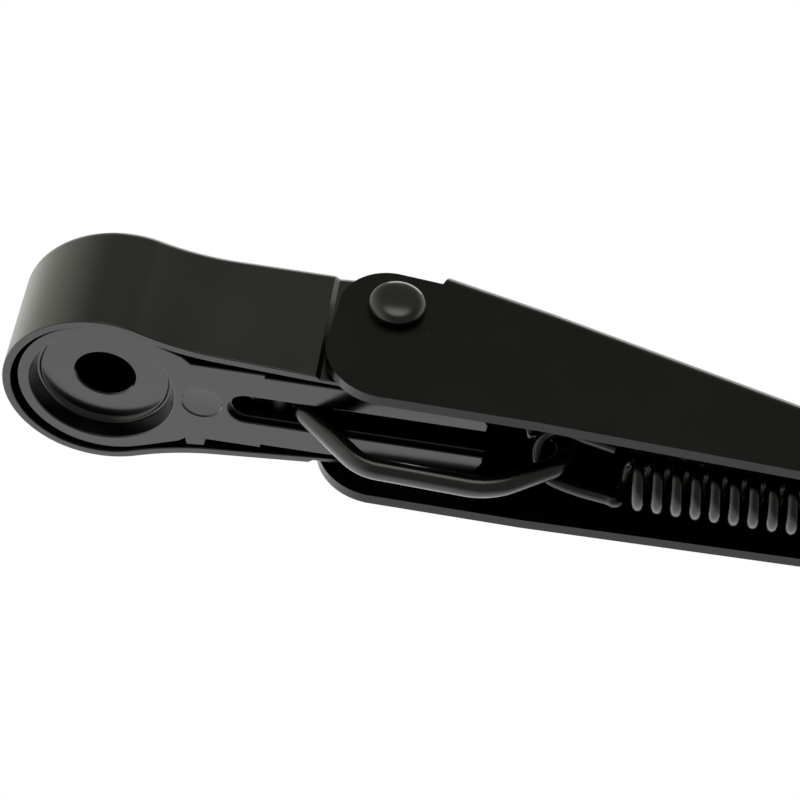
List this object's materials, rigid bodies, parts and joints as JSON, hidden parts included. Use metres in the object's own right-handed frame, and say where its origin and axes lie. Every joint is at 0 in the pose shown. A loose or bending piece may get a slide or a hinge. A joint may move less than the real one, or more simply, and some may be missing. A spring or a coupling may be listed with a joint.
{
  "type": "wiper arm",
  "caption": "Windscreen wiper arm with a round spindle head, a sprung lifting channel on a pivot rivet, and a flat bar ending in a blade hook.",
  "frame": {"origin": "on the spindle axis, at the mouth of the spindle bore", "axes": "+X along the arm to the blade hook, +Z along the spindle axis away from the windscreen, Y across the arm"},
  "size_m": [0.5024, 0.033, 0.0534],
  "materials": {
    "gloss_paint": "gloss black enamel",
    "cast_paint": "gloss black enamel on a casting",
    "black_plastic": "black moulded plastic",
    "pin_steel": "turned steel, oiled",
    "rivet_paint": "gloss black enamel",
    "bar_paint": "satin black enamel",
    "link_wire": "black coated steel wire",
    "spring_wire": "black coated spring wire"
  },
  "bodies": {
    "head": {"head_cover": "gloss_paint", "head_core": "cast_paint", "nut_cover": "black_plastic", "link_pin": "pin_steel", "pivot_bush": "pin_steel"},
    "arm": {"channel": "gloss_paint", "pivot_rivet": "rivet_paint", "spring_pin": "rivet_paint", "arm_bar": "bar_paint", "bar_rivet_front": "rivet_paint", "bar_rivet_rear": "rivet_paint"},
    "link": {"hook_link": "link_wire"},
    "spring": {"tension_spring": "spring_wire"}
  },
  "joints": [
    {"name": "arm_lift", "type": "hinge", "parent": "head", "child": "arm", "pos_m": [0.0465, 0, 0.012], "axis": [0, -1, 0], "range_deg": [0, 45]},
    {"name": "link_swing", "type": "hinge", "parent": "head", "child": "link", "pos_m": [0.0294, 0, 0.0015], "axis": [0, -1, 0], "range_deg": [0, 40]},
    {"name": "spring_swing", "type": "hinge", "parent": "link", "child": "spring", "pos_m": [0.073, 0, -0.0024], "axis": [0, -1, 0], "range_deg": [-5, 0], "deforming": ["tension_spring"]}
  ],
  "couplings": [
    {"joint": "link_swing", "follows": "arm_lift", "ratio": 0.875},
    {"joint": "spring_swing", "follows": "arm_lift", "ratio": -0.0856}
  ]
}
